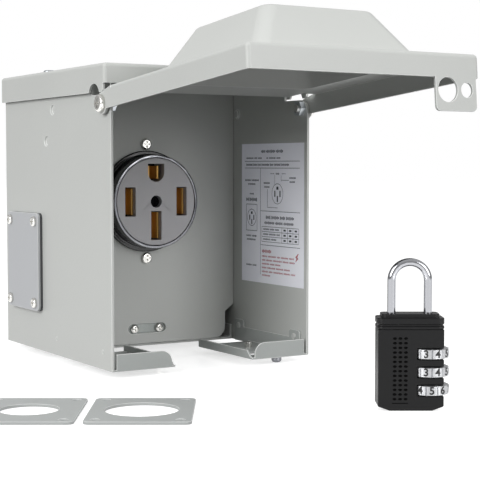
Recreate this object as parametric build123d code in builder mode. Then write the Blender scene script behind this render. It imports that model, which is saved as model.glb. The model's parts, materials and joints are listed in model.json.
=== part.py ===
"""Outdoor power outlet box for a caravan pitch: a wall-mounted sheet-steel enclosure with a swing-up
lid and a recessed four-slot outlet, with its combination padlock and three spare hub plates.

Frame: origin at the centre of the wall-mounting hole pattern on the outer back face, +X to the
viewer's right, +Y into the wall, +Z up. The lid is modelled swung fully up."""

import math
import os

from build123d import *

os.makedirs("parts", exist_ok=True)

# Enclosure
width = 128.0
depth = 153.4
height = 166.7
sheet = 1.5
wall_front_height = 150.0
wall_front_length = 24.0
wall_corner_radius = 8.0
wall_mount_spacing_x = 80.0
wall_mount_spacing_z = 100.0
wall_mount_hole_radius = 3.0
wall_mount_height = 84.0
top_flange_depth = 12.0
seat_clearance = 0.2

# Cap
cap_side_gap = 1.05
cap_setback = 2.8
cap_side_height = 15.7
cap_front_height = 10.9
cap_bend_radius = 2.2
cap_screw_distance = 100.0
cap_screw_inset = 7.5

# Lid
lid_length = 150.3
lid_rise = 8.7
lid_flange_depth = 12.0
lid_open_tilt = 4.8
pivot_setback = 6.0
pivot_height = 144.9
ear_radius = 6.0
lid_shoulder = 11.0
lid_tongue = 4.5
lid_tongue_inset = 6.0
bubble_height = 26.0
bubble_base_width = 98.0
bubble_top_width = 65.0
bubble_front_margin = 20.0
bubble_rear_margin = 26.3
bubble_top_length = 70.5
bubble_wall = 1.9
tab_width = 25.5
tab_reach = 16.4
tab_hole_drop = 18.0
tab_lock_hole_radius = 6.0
tab_seal_hole_radius = 3.6

# Hinge hardware
hinge_shank_radius = 2.5
hinge_running_clearance = 0.05
hinge_head_radius = 4.85
hinge_head_height = 2.6
hinge_washer_radius = 4.2
hinge_nut_size = 8.0
hinge_nut_height = 3.2
fit_clearance = 0.05

# Dead front and wiring compartment
dead_front_setback = 83.4
dead_front_edge_gap = 0.3
dead_front_lift = 1.8
dead_front_top_gap = 4.0
corner_cut_height = 23.0
corner_cut_width = 6.2
corner_cut_drop = 4.5
corner_radius = 7.5
dimple_radius = 3.0
dimple_height = 1.2
floor_lip_height = 8.0

# Outlet, as distances from the dead front's face (positive toward the user)
outlet_offset_x = -0.6
outlet_height = 89.7
outlet_proud = 14.3
collar_radius = 28.35
collar_flange_radius = 31.0
collar_flange_thickness = 2.4
collar_bore_radius = 26.7
face_radius = 26.4
face_skin = 4.0
rim_height = 1.0
base_radius = 25.5
base_depth = 24.0
strap_thickness = 1.5
strap_width = 24.0
strap_length = 86.0
strap_disc_radius = 30.0
strap_bore_radius = 24.9
outlet_screw_spacing = 70.0
blade_slot_width = 7.0
blade_slot_length = 17.5
line_slot_offset = 17.4
neutral_slot_offset = 14.5
ground_slot_offset = 17.7
ground_slot_width = 10.9
ground_slot_height = 10.5
centre_hole_radius = 3.65
contact_thickness = 1.2
contact_gap = 5.0
contact_length = 16.0
chamber_margin = 1.3

# Ground bar
ground_slot_span = 26.0
ground_slot_opening = 6.0
ground_bar_height = 11.0
ground_bar_length = 38.0
ground_screw_spacing = 17.0

# Hub plates
hub_plate_width = 48.7
hub_plate_length = 59.0
hub_plate_corner = 3.0
hub_hole_spacing_x = 38.4
hub_hole_spacing_y = 49.1
hub_hole_radius = 2.15
hub_setback = 119.5
hub_height = 53.5
hub_opening_radius = 17.5
hub_gasket_thickness = 1.5
hub_screw_radius = 1.7
hub_bores = {"small": 11.1, "medium": 14.1, "large": 17.45}

# Bottom brackets
bracket_sheet = 1.2
bracket_gap = 0.1
bracket_width = 37.4
bracket_length = 63.0
bracket_setback = 0.3
lip_inset_inner = 2.0
lip_inset_outer = 1.4
lip_height = 9.6
lip_corner_radius = 6.5
edge_height = 5.0
leg_height = 9.4
rivet_tab_height = 14.0
rivet_tab_length = 11.5
rivet_setbacks = (11.4, 74.8)
rivet_height = 10.0
rivet_radius = 2.0
lock_slot_length = 23.0
lock_slot_width = 12.0
keeper_inset = 19.5
keeper_setback = 4.8
keeper_head_height = 3.4

# Label
label_width = 70.0
label_height = 86.0
label_setback = 3.0
label_rise = 39.0
label_thickness = 0.2

# Padlock
lock_width = 31.0
lock_depth = 14.5
lock_height = 38.5
lock_chamfer_x = 5.5
lock_chamfer_z = 2.0
lock_collar_height = 7.0
shackle_radius = 2.0
shackle_spacing = 17.2
shackle_rise = 26.0
shackle_clearance = 0.2
shackle_deep_leg = 30.0
shackle_short_leg = 8.0
shackle_travel = 11.0
dial_radius = 9.3
dial_height = 4.7
dial_gap = 0.5
dial_offset = 9.6
dial_heights = (26.8, 18.2, 9.6)
spindle_radius = 1.6
lock_bearing = -31.2
lock_place_x = 20.3
lock_place_ahead = 148.8

# Spare hub plates on the ground: the first one's place, as X and distance ahead, and their pitch
spare_place_x = -183.2
spare_place_ahead = 38.1
spare_pitch = 52.7

# Worked-out places
front_y = -depth
base_z = -wall_mount_height
half_width = width / 2
inner_half = half_width - sheet
cap_half = half_width + cap_side_gap + sheet
wall_top_z = base_z + height - sheet - seat_clearance
pivot_y = front_y + pivot_setback
pivot_z = base_z + pivot_height
dead_front_y = front_y + dead_front_setback
ground_z = base_z - keeper_head_height
tilt = math.radians(lid_open_tilt)

lid_frame = Plane(origin=(0, pivot_y, pivot_z), x_dir=(1, 0, 0), z_dir=(0, math.sin(tilt), math.cos(tilt)))
dead_frame = Plane(origin=(0, dead_front_y, base_z), x_dir=(1, 0, 0), z_dir=(0, -1, 0))
outlet_frame = Plane(
    origin=(outlet_offset_x, dead_front_y, base_z + outlet_height), x_dir=(1, 0, 0), z_dir=(0, -1, 0)
)
hub_frame = Plane(
    origin=(-half_width, front_y + hub_setback, base_z + hub_height), x_dir=(0, -1, 0), z_dir=(-1, 0, 0)
)
lock_turn = math.radians(lock_bearing)
lock_frame = Plane(
    origin=(lock_place_x, front_y - lock_place_ahead, ground_z),
    x_dir=(math.cos(lock_turn), math.sin(lock_turn), 0),
    z_dir=(0, 0, 1),
)


def write(part, node):
    """Label a finished piece and write its STEP file."""
    part.label = node
    export_step(part, f"parts/{node}.step")


def raised(plane, distance):
    """A plane moved along its own normal."""
    return plane.offset(distance)


def edges_at(builder, frame, height_above):
    """The edges of a builder that lie at one height above a plane."""
    return [
        edge for edge in builder.edges() if abs(frame.to_local_coords(edge.center()).Z - height_above) < 0.01
    ]


def pan_screws(frame, spots, head_radius, head_height, shank_radius, reach, recess=True):
    """Pan-head screws whose heads sit on the frame, with a cross recess, as separate solids."""
    with BuildPart() as screws:
        with BuildSketch(frame):
            with Locations(*spots):
                Circle(head_radius)
        extrude(amount=head_height)
        fillet(edges_at(screws, frame, head_height), head_height * 0.55)
        with BuildSketch(frame):
            with Locations(*spots):
                Circle(shank_radius)
        extrude(amount=-reach)
        if recess:
            with BuildSketch(raised(frame, head_height)):
                with Locations(*spots):
                    Rectangle(head_radius * 1.15, head_radius * 0.24)
                    Rectangle(head_radius * 0.24, head_radius * 1.15)
            extrude(amount=-head_height * 0.5, mode=Mode.SUBTRACT)
    return screws.part


def hex_nuts(frame, spots, across_flats, thickness, bore_radius):
    """Hexagon nuts standing on the frame, as separate solids."""
    with BuildPart() as nuts:
        with BuildSketch(frame):
            with Locations(*spots):
                RegularPolygon(across_flats / 2, 6, major_radius=False)
                Circle(bore_radius, mode=Mode.SUBTRACT)
        extrude(amount=thickness)
    return nuts.part


def hub_plate(frame, thickness, bore_radius, bolt_radius):
    """A flat plate for the side opening, with four bolt holes and an optional centre hole."""
    with BuildPart() as plate:
        with BuildSketch(frame):
            RectangleRounded(hub_plate_width, hub_plate_length, hub_plate_corner)
            with GridLocations(hub_hole_spacing_x, hub_hole_spacing_y, 2, 2):
                Circle(bolt_radius, mode=Mode.SUBTRACT)
            if bore_radius:
                Circle(bore_radius, mode=Mode.SUBTRACT)
        extrude(amount=thickness)
    return plate.part


# Housing: back and two side walls of one bent sheet, with top flanges that carry the cap
with BuildPart() as housing:
    with BuildSketch(Plane.XZ):
        with Locations((0, (base_z + wall_top_z) / 2)):
            Rectangle(width, wall_top_z - base_z)
        with GridLocations(wall_mount_spacing_x, wall_mount_spacing_z, 2, 2):
            Circle(wall_mount_hole_radius, mode=Mode.SUBTRACT)
    extrude(amount=sheet)
    for side in (-1, 1):
        with BuildSketch(Plane.YZ.offset(side * half_width)) as wall:
            with BuildLine():
                Polyline(
                    (front_y, base_z),
                    (front_y, base_z + wall_front_height),
                    (front_y + wall_front_length, base_z + wall_front_height),
                    (front_y + wall_front_length, wall_top_z),
                    (0, wall_top_z),
                    (0, base_z),
                    close=True,
                )
            make_face()
            fillet(wall.vertices().group_by(Axis.X)[0].sort_by(Axis.Y)[-1], wall_corner_radius)
            with Locations((pivot_y, pivot_z)):
                Circle(hinge_shank_radius + hinge_running_clearance, mode=Mode.SUBTRACT)
            with Locations(*[(front_y + setback, base_z + rivet_height) for setback in rivet_setbacks]):
                Circle(rivet_radius / 2 + fit_clearance, mode=Mode.SUBTRACT)
        extrude(amount=-side * sheet)
        with Locations(
            (
                side * (inner_half - top_flange_depth / 2),
                (front_y + wall_front_length + 12 - sheet) / 2,
                wall_top_z - sheet / 2,
            )
        ):
            Box(top_flange_depth, -(front_y + wall_front_length + 12) - sheet, sheet)
        dimple_spots = (
            (dead_front_y - dimple_radius - 1.7, base_z + 144),
            (dead_front_y + sheet + dimple_radius + 0.5, base_z + 126),
        )
        with BuildSketch(Plane.YZ.offset(side * inner_half)):
            with Locations(*dimple_spots):
                Circle(dimple_radius)
        extrude(amount=-side * dimple_height, taper=30)
        with BuildSketch(Plane.YZ.offset(side * half_width)):
            with Locations(*dimple_spots):
                Circle(dimple_radius)
        extrude(amount=-side * dimple_height, taper=30, mode=Mode.SUBTRACT)
        with BuildSketch(Plane.XY.offset(wall_top_z)):
            with Locations((side * (half_width - cap_screw_inset), front_y + cap_screw_distance)):
                Circle(1.9 + fit_clearance)
        extrude(amount=-sheet, mode=Mode.SUBTRACT)
    with BuildSketch(hub_frame):
        Circle(hub_opening_radius)
        with GridLocations(hub_hole_spacing_x, hub_hole_spacing_y, 2, 2):
            Circle(hub_screw_radius + fit_clearance)
    extrude(amount=-sheet, mode=Mode.SUBTRACT)
write(housing.part, "housing")

# Floor of the wiring compartment, with side lips and a round knockout scored into it
floor_front_y = dead_front_y + sheet + 0.4
floor_half = inner_half - dead_front_edge_gap
floor_length = -sheet - dead_front_edge_gap - floor_front_y
with BuildPart() as rear_floor:
    with BuildSketch(Plane.XY.offset(base_z)):
        with Locations((0, floor_front_y + floor_length / 2)):
            Rectangle(2 * floor_half, floor_length)
    extrude(amount=sheet)
    for side in (-1, 1):
        with BuildSketch(Plane.XY.offset(base_z + sheet)):
            with Locations((side * (floor_half - sheet / 2), floor_front_y + floor_length / 2)):
                Rectangle(sheet, floor_length)
        extrude(amount=floor_lip_height)
    with BuildSketch(Plane.XY.offset(base_z)):
        with Locations((0, floor_front_y + floor_length / 2)):
            Circle(14.4)
            Circle(13.8, mode=Mode.SUBTRACT)
    extrude(amount=0.7, mode=Mode.SUBTRACT)
write(rear_floor.part, "rear_floor")


# Bottom brackets: a floor flange, an upturned front lip and inner edge, and a leg on the side wall
def bracket(side, locking):
    """One bottom bracket; the locking one has the padlock slot and the keeper's hole."""
    outer = inner_half - bracket_gap
    inner = outer - bracket_width
    start = front_y + bracket_setback
    with BuildPart() as piece:
        with BuildSketch(Plane.XY.offset(base_z)):
            with Locations((side * (inner + outer) / 2, start + bracket_length / 2)):
                Rectangle(bracket_width, bracket_length)
            if locking:
                slot_x = side * (outer - 21.5)
                with Locations((slot_x, start + 15.0)):
                    SlotOverall(lock_slot_length, lock_slot_width, mode=Mode.SUBTRACT)
                with Locations((side * (half_width - keeper_inset), front_y + keeper_setback)):
                    Circle(1.75 + fit_clearance, mode=Mode.SUBTRACT)
        extrude(amount=bracket_sheet)
        with BuildSketch(Plane.XZ.offset(-start)) as lip:
            lip_inner, lip_outer = inner + lip_inset_inner, outer - lip_inset_outer
            with Locations((side * (lip_inner + lip_outer) / 2, base_z + lip_height / 2)):
                Rectangle(lip_outer - lip_inner, lip_height)
            inner_corners = lip.vertices().group_by(Axis.Y)[-1].sort_by(Axis.X)
            fillet(inner_corners[0 if side > 0 else -1], lip_corner_radius)
        extrude(amount=-bracket_sheet)
        with BuildSketch(Plane.YZ.offset(side * inner)):
            with BuildLine():
                Polyline(
                    (start + bracket_sheet + 0.5, base_z),
                    (start + bracket_sheet + 0.5, base_z + bracket_sheet),
                    (start + edge_height + 1, base_z + edge_height),
                    (start + bracket_length, base_z + edge_height),
                    (start + bracket_length, base_z),
                    close=True,
                )
            make_face()
        extrude(amount=side * bracket_sheet)
        first, last = (front_y + setback for setback in rivet_setbacks)
        with BuildSketch(Plane.YZ.offset(side * outer)):
            with Locations(((first + last) / 2, base_z + leg_height / 2)):
                Rectangle(last - first + rivet_tab_length, leg_height)
            with Locations(*[(y, base_z + rivet_tab_height / 2) for y in (first, last)]):
                RectangleRounded(rivet_tab_length, rivet_tab_height, 2)
            with Locations(*[(y, base_z + rivet_height) for y in (first, last)]):
                Circle(rivet_radius / 2 + fit_clearance, mode=Mode.SUBTRACT)
        extrude(amount=-side * bracket_sheet)
    return piece.part


write(bracket(-1, False), "left_bracket")
write(bracket(1, True), "right_bracket")

# Rivets of the bracket legs: domed inside, flush outside the wall
with BuildPart() as bracket_rivets:
    for side in (-1, 1):
        leg_face = Plane(
            origin=(side * (inner_half - bracket_gap - bracket_sheet), 0, 0), x_dir=(0, 1, 0), z_dir=(-side, 0, 0)
        )
        flip = leg_face.to_local_coords(Vector(0, 1, 1))
        spots = [((front_y + setback), (base_z + rivet_height) * flip.Y) for setback in rivet_setbacks]
        with BuildSketch(leg_face):
            with Locations(*spots):
                Circle(rivet_radius)
        extrude(amount=0.9, taper=20)
        with BuildSketch(leg_face):
            with Locations(*spots):
                Circle(rivet_radius / 2)
        extrude(amount=-(bracket_sheet + bracket_gap + sheet))
write(bracket_rivets.part, "bracket_rivets")

# Keeper screw under the right bracket's lip, its nut, and the short locating stud behind it
keeper_x = half_width - keeper_inset
keeper_y = front_y + keeper_setback
with BuildPart() as keeper_screw:
    with BuildSketch(Plane.XY.offset(base_z)):
        with Locations((keeper_x, keeper_y)):
            Circle(3.0)
    extrude(amount=-keeper_head_height)
    fillet(keeper_screw.edges().group_by(Axis.Z)[0], keeper_head_height * 0.5)
    with BuildSketch(Plane.XY.offset(base_z)):
        with Locations((keeper_x, keeper_y)):
            Circle(1.75)
    extrude(amount=5.0)
write(keeper_screw.part, "keeper_screw")
write(
    hex_nuts(Plane.XY.offset(base_z + bracket_sheet), [(keeper_x, keeper_y)], 5.9, 2.5, 1.75 + fit_clearance),
    "keeper_nut",
)
with BuildPart() as bracket_stud:
    with BuildSketch(Plane.XY.offset(base_z + bracket_sheet)):
        with Locations((half_width - 17.5, front_y + 39.6)):
            Circle(2.25)
    extrude(amount=3.4)
    chamfer(bracket_stud.edges().group_by(Axis.Z)[-1], 0.4)
write(bracket_stud.part, "bracket_stud")

# Cap: a shallow tray turned down over the wall tops, notched at the front for the lid's ears
cap_top_z = base_z + height
cap_front_y = front_y + cap_setback
with BuildPart() as top_cap:
    with BuildSketch(Plane.XY.offset(cap_top_z)):
        with Locations((0, cap_front_y / 2)):
            Rectangle(2 * cap_half, -cap_front_y)
    extrude(amount=-cap_side_height)
    front_corners = top_cap.edges().filter_by(Axis.Z).group_by(Axis.Y)[0]
    upper_edges = top_cap.edges().group_by(Axis.Z)[-1].sort_by(Axis.Y)[:-1]
    fillet(front_corners + upper_edges, cap_bend_radius)
    with BuildSketch(Plane.XY.offset(cap_top_z - sheet)):
        with Locations((0, (cap_front_y + sheet) / 2 + 1)):
            Rectangle(2 * (cap_half - sheet), -(cap_front_y + sheet) + 2)
    extrude(amount=-cap_side_height, mode=Mode.SUBTRACT)
    cut_low = base_z + height - cap_side_height - 6
    front_low = cap_top_z - cap_front_height
    prong = (front_y + 9.0, base_z + 150.5)
    with BuildSketch(Plane.YZ):
        with BuildLine():
            Polyline((prong[0], cut_low), (cap_front_y - 2, cut_low), (cap_front_y - 2, front_low))
            Line((cap_front_y - 2, front_low), (cap_front_y, front_low))
            ThreePointArc((cap_front_y, front_low), (front_y + 4.5, base_z + 152.3), prong)
            ThreePointArc(prong, (front_y + 16.0, base_z + 155.9), (front_y + 22.8, cap_top_z - cap_side_height))
            Line((front_y + 22.8, cap_top_z - cap_side_height), (front_y + 22.8, cut_low))
            Line((front_y + 22.8, cut_low), (prong[0], cut_low))
        make_face()
        with Locations((cap_front_y, front_low - 6)):
            Rectangle(2 * (sheet + 0.4), 12)
    extrude(amount=cap_half + 1, both=True, mode=Mode.SUBTRACT)
    with BuildSketch(Plane.XY.offset(cap_top_z)):
        with Locations(
            *[(side * (half_width - cap_screw_inset), front_y + cap_screw_distance) for side in (-1, 1)]
        ):
            Circle(1.9 + fit_clearance)
    extrude(amount=-sheet, mode=Mode.SUBTRACT)
write(top_cap.part, "top_cap")
cap_screw_spots = [(side * (half_width - cap_screw_inset), front_y + cap_screw_distance) for side in (-1, 1)]
write(pan_screws(Plane.XY.offset(cap_top_z), cap_screw_spots, 3.6, 1.9, 1.9, 7.0), "cap_screws")

# Dead front: the flat panel between the wall dimples that carries the outlet
dead_half = inner_half - dead_front_edge_gap
dead_top = wall_top_z - base_z - dead_front_top_gap
with BuildPart() as dead_front:
    with BuildSketch(dead_frame) as panel:
        with BuildLine():
            Polyline(
                (dead_half - corner_cut_width, dead_front_lift),
                (dead_half - corner_cut_width, corner_cut_height - corner_cut_drop),
                (dead_half, corner_cut_height),
                (dead_half, dead_top),
                (-dead_half, dead_top),
                (-dead_half, corner_cut_height),
                (corner_cut_width - dead_half, corner_cut_height - corner_cut_drop),
                (corner_cut_width - dead_half, dead_front_lift),
                close=True,
            )
        make_face()
        fillet(panel.vertices().group_by(Axis.Y)[0], corner_radius)
        with Locations((outlet_offset_x, outlet_height)):
            Circle(collar_radius + 0.3, mode=Mode.SUBTRACT)
            with GridLocations(0, outlet_screw_spacing, 1, 2):
                Circle(2.0 + fit_clearance, mode=Mode.SUBTRACT)
        with Locations((0, ground_bar_height)):
            SlotOverall(ground_slot_span, ground_slot_opening, mode=Mode.SUBTRACT)
    extrude(amount=-sheet)
write(dead_front.part, "dead_front")

# Ground bar behind the slotted hole, with its two screws
with BuildPart() as ground_bar:
    with BuildSketch(raised(dead_frame, -sheet)):
        with Locations((0, ground_bar_height)):
            RectangleRounded(ground_bar_length, 8.0, 1.5)
            with GridLocations(ground_screw_spacing, 0, 2, 1):
                Circle(1.5 + fit_clearance, mode=Mode.SUBTRACT)
    extrude(amount=-3.0)
write(ground_bar.part, "ground_bar")
ground_spots = [(side * ground_screw_spacing / 2, ground_bar_height) for side in (-1, 1)]
write(pan_screws(raised(dead_frame, -sheet), ground_spots, 2.7, 2.6, 1.5, 6.0), "ground_bar_screws")

# Outlet collar: the round black shell through the dead front
collar_front = outlet_proud - rim_height
with BuildPart() as outlet_collar:
    with BuildSketch(raised(outlet_frame, -sheet)):
        Circle(collar_radius)
    extrude(amount=sheet + collar_front)
    with BuildSketch(outlet_frame):
        Circle(collar_flange_radius)
    extrude(amount=collar_flange_thickness)
    with BuildSketch(raised(outlet_frame, -sheet)):
        Circle(collar_bore_radius)
    extrude(amount=sheet + outlet_proud, mode=Mode.SUBTRACT)
write(outlet_collar.part, "outlet_collar")

# Bright rim on the collar's front edge
with BuildPart() as outlet_rim:
    with BuildSketch(raised(outlet_frame, collar_front)):
        Circle(collar_radius)
        Circle(collar_bore_radius, mode=Mode.SUBTRACT)
    extrude(amount=rim_height)
    fillet(outlet_rim.edges().group_by(Axis.Y)[0], 0.4)
write(outlet_rim.part, "outlet_rim")

# Outlet face: the moulding with the blade slots, and wider contact chambers behind its skin
face_front = outlet_proud - 0.3
chamber_depth = face_front - face_skin
line_spots = [(side * line_slot_offset, 0) for side in (-1, 1)]
neutral_spots = [(0, -neutral_slot_offset)]
chamber_width = contact_gap + 2 * contact_thickness + 2 * chamber_margin
chamber_length = contact_length + 2 * chamber_margin


def ground_slot(grow):
    """The ground pin's slot: flat on top and round below."""
    with Locations((0, ground_slot_offset + ground_slot_height / 2 - ground_slot_width / 4 + grow / 2)):
        Rectangle(ground_slot_width + 2 * grow, ground_slot_width / 2 + grow)
    with Locations((0, ground_slot_offset + ground_slot_height / 2 - ground_slot_width / 2)):
        Circle(ground_slot_width / 2 + grow)


with BuildPart() as outlet_face:
    with BuildSketch(raised(outlet_frame, -sheet)):
        Circle(face_radius)
    extrude(amount=sheet + face_front)
    with BuildSketch(raised(outlet_frame, face_front)):
        with Locations(*line_spots, *neutral_spots):
            Rectangle(blade_slot_width, blade_slot_length)
        ground_slot(0)
        Circle(centre_hole_radius)
    extrude(amount=-face_skin, mode=Mode.SUBTRACT)
    with BuildSketch(raised(outlet_frame, -sheet)):
        with Locations(*line_spots, *neutral_spots):
            Rectangle(chamber_width, chamber_length)
        ground_slot(chamber_margin)
    extrude(amount=sheet + chamber_depth, mode=Mode.SUBTRACT)
    with BuildSketch(raised(outlet_frame, face_front)):
        Circle(1.9 + fit_clearance)
    extrude(amount=-(face_front + sheet), mode=Mode.SUBTRACT)
write(outlet_face.part, "outlet_face")

# Mounting strap behind the dead front
strap_front = -sheet - 0.1
with BuildPart() as mounting_strap:
    with BuildSketch(raised(outlet_frame, strap_front)):
        Circle(strap_disc_radius)
        RectangleRounded(strap_width, strap_length, 3)
        Circle(strap_bore_radius, mode=Mode.SUBTRACT)
        with GridLocations(0, outlet_screw_spacing, 1, 2):
            Circle(2.0 + fit_clearance, mode=Mode.SUBTRACT)
    extrude(amount=-strap_thickness)
write(mounting_strap.part, "mounting_strap")
strap_spots = [(0, side * outlet_screw_spacing / 2) for side in (-1, 1)]
write(pan_screws(outlet_frame, strap_spots, 3.5, 2.2, 2.0, 9.0), "outlet_screws")

# Outlet base: the rear moulding, with slots for the contact tails
base_front = strap_front - strap_thickness - 0.1
boss_front = strap_front + 0.05
tail_width = 8.0
with BuildPart() as outlet_base:
    with BuildSketch(raised(outlet_frame, base_front)):
        Circle(base_radius)
    extrude(amount=-base_depth)
    fillet(outlet_base.edges().group_by(Axis.Y)[-1], 1.5)
    with BuildSketch(raised(outlet_frame, base_front)):
        Circle(strap_bore_radius - 0.3)
    extrude(amount=boss_front - base_front)
    with BuildSketch(raised(outlet_frame, boss_front)):
        with Locations(*line_spots, *neutral_spots, (0, ground_slot_offset)):
            Rectangle(contact_thickness + 0.2, tail_width + 0.2)
        Circle(1.9 + fit_clearance)
    extrude(amount=-(base_depth + 4), mode=Mode.SUBTRACT)
write(outlet_base.part, "outlet_base")


def contacts(spots, length):
    """Sprung two-leaf contacts: a bridge on the base, two leaves forward and a tail behind."""
    bridge_rear = boss_front + 0.05
    with BuildPart() as clips:
        with BuildSketch(raised(outlet_frame, bridge_rear)):
            with Locations(*spots):
                Rectangle(contact_gap + 2 * contact_thickness, length)
        extrude(amount=chamber_depth - 0.3 - bridge_rear)
        with BuildSketch(raised(outlet_frame, bridge_rear + contact_thickness)):
            with Locations(*spots):
                Rectangle(contact_gap, length)
        extrude(amount=chamber_depth, mode=Mode.SUBTRACT)
        with BuildSketch(raised(outlet_frame, bridge_rear)):
            with Locations(*spots):
                Rectangle(contact_thickness, tail_width)
        extrude(amount=-(base_depth + 6.0))
    return clips.part


write(contacts(line_spots, contact_length), "line_contacts")
write(contacts(neutral_spots, contact_length), "neutral_contact")
write(contacts([(0, ground_slot_offset)], tail_width), "ground_contact")
terminal_spots = [(side * line_slot_offset - side * 5.0, 0) for side in (-1, 1)]
terminal_spots += [(5.0, -neutral_slot_offset), (5.0, ground_slot_offset)]
base_back = Plane(
    origin=outlet_frame.origin - outlet_frame.z_dir * (base_depth - base_front), x_dir=(1, 0, 0), z_dir=(0, 1, 0)
)
with BuildPart() as terminal_screws:
    with BuildSketch(base_back):
        with Locations(*[(x, -z) for x, z in terminal_spots]):
            Circle(3.2)
    extrude(amount=2.4)
write(terminal_screws.part, "terminal_screws")
write(
    pan_screws(raised(outlet_frame, chamber_depth), [(0, 0)], 3.3, 1.8, 1.9, chamber_depth + 14), "centre_screw"
)

# Blank plate over the side opening, on a gasket, held by four screws
write(hub_plate(hub_frame, hub_gasket_thickness, hub_opening_radius, hub_hole_radius), "hub_gasket")
write(hub_plate(raised(hub_frame, hub_gasket_thickness), sheet, 0, hub_hole_radius), "blank_hub_plate")
hub_spots = [
    (i * hub_hole_spacing_x / 2, j * hub_hole_spacing_y / 2) for i in (-1, 1) for j in (-1, 1)
]
write(
    pan_screws(raised(hub_frame, hub_gasket_thickness + sheet), hub_spots, 3.1, 1.9, hub_screw_radius, 7.5),
    "hub_plate_screws",
)

# Instruction label inside the right wall
with BuildPart() as label:
    with BuildSketch(Plane.YZ.offset(inner_half)):
        with Locations((front_y + label_setback + label_width / 2, base_z + label_rise + label_height / 2)):
            Rectangle(label_width, label_height)
    extrude(amount=-label_thickness)
write(label.part, "label")

# Lid: a shallow pan with side ears on the hinge screws, a pressed bubble and a hasp tab
flange_low = lid_rise - lid_flange_depth
bubble_length = lid_length - bubble_front_margin - bubble_rear_margin
bubble_y = -(lid_length - bubble_front_margin + bubble_rear_margin) / 2
tab_x = cap_half - tab_width / 2 - 2.3
with BuildPart() as lid:
    with BuildSketch(raised(lid_frame, lid_rise)):
        with Locations((0, -(lid_length + lid_shoulder) / 2)):
            Rectangle(2 * cap_half, lid_length - lid_shoulder)
    extrude(amount=-lid_flange_depth)
    pan_top = edges_at(lid, lid_frame, lid_rise)
    pan_top = [e for e in pan_top if lid_frame.to_local_coords(e.center()).Y < -lid_shoulder - 0.01]
    pan_posts = [e for e in lid.edges() if abs(lid_frame.to_local_coords(e.center()).Y + lid_length) < 0.01]
    pan_posts = [e for e in pan_posts if abs(e.center().X) > cap_half - 0.01]
    fillet(pan_top + pan_posts, cap_bend_radius)
    with BuildSketch(raised(lid_frame, lid_rise - sheet)):
        with Locations((0, -(lid_length - sheet + lid_shoulder) / 2 + 1)):
            Rectangle(2 * (cap_half - sheet), lid_length - sheet - lid_shoulder + 2)
    extrude(amount=-lid_flange_depth, mode=Mode.SUBTRACT)
    with BuildSketch(raised(lid_frame, lid_rise)):
        with Locations((0, (lid_tongue - lid_shoulder) / 2 - 1)):
            Rectangle(2 * (inner_half - lid_tongue_inset), lid_tongue + lid_shoulder + 2)
    extrude(amount=-sheet)
    with BuildSketch(raised(lid_frame, lid_rise)):
        with Locations((0, bubble_y)):
            RectangleRounded(bubble_base_width, bubble_length, 8)
    with BuildSketch(raised(lid_frame, lid_rise + bubble_height)):
        with Locations((0, bubble_y)):
            RectangleRounded(bubble_top_width, bubble_top_length, 7)
    loft()
    fillet(edges_at(lid, lid_frame, lid_rise + bubble_height), 5)
    with BuildSketch(raised(lid_frame, lid_rise - sheet - 0.01)):
        with Locations((0, bubble_y)):
            RectangleRounded(bubble_base_width - 2 * bubble_wall + 2, bubble_length - 2 * bubble_wall + 2, 7)
    with BuildSketch(raised(lid_frame, lid_rise + bubble_height - sheet)):
        with Locations((0, bubble_y)):
            RectangleRounded(bubble_top_width - 2 * bubble_wall, bubble_top_length - 2 * bubble_wall, 5)
    loft(mode=Mode.SUBTRACT)
    ear_plane = Plane(origin=lid_frame.origin, x_dir=lid_frame.y_dir, z_dir=(1, 0, 0))
    for side in (-1, 1):
        with BuildSketch(ear_plane.offset(side * cap_half)):
            with BuildLine():
                Polyline(
                    (-lid_shoulder - 1, flange_low),
                    (0, flange_low),
                    (0, ear_radius),
                    (-lid_shoulder, lid_rise - 0.6),
                    (-lid_shoulder - 1, lid_rise - 0.6),
                    close=True,
                )
            make_face()
            Circle(ear_radius)
        extrude(amount=-side * sheet)
    with BuildSketch(ear_plane):
        Circle(hinge_shank_radius + hinge_running_clearance)
    extrude(amount=cap_half + 1, both=True, mode=Mode.SUBTRACT)
    tab_plane = Plane(
        origin=lid_frame.origin - lid_frame.y_dir * lid_length, x_dir=(1, 0, 0), z_dir=-lid_frame.y_dir
    )
    with BuildSketch(tab_plane) as tab:
        with Locations((tab_x, flange_low - tab_reach / 2 + 1)):
            Rectangle(tab_width, tab_reach + 2)
        fillet(tab.vertices().group_by(Axis.Y)[0], 2.5)
        with Locations((tab_x - tab_width / 2 + 7.6, lid_rise - tab_hole_drop)):
            Circle(tab_lock_hole_radius, mode=Mode.SUBTRACT)
        with Locations((tab_x - tab_width / 2 + 19.5, lid_rise - tab_hole_drop)):
            Circle(tab_seal_hole_radius, mode=Mode.SUBTRACT)
    extrude(amount=-sheet)
write(lid.part, "lid")

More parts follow.
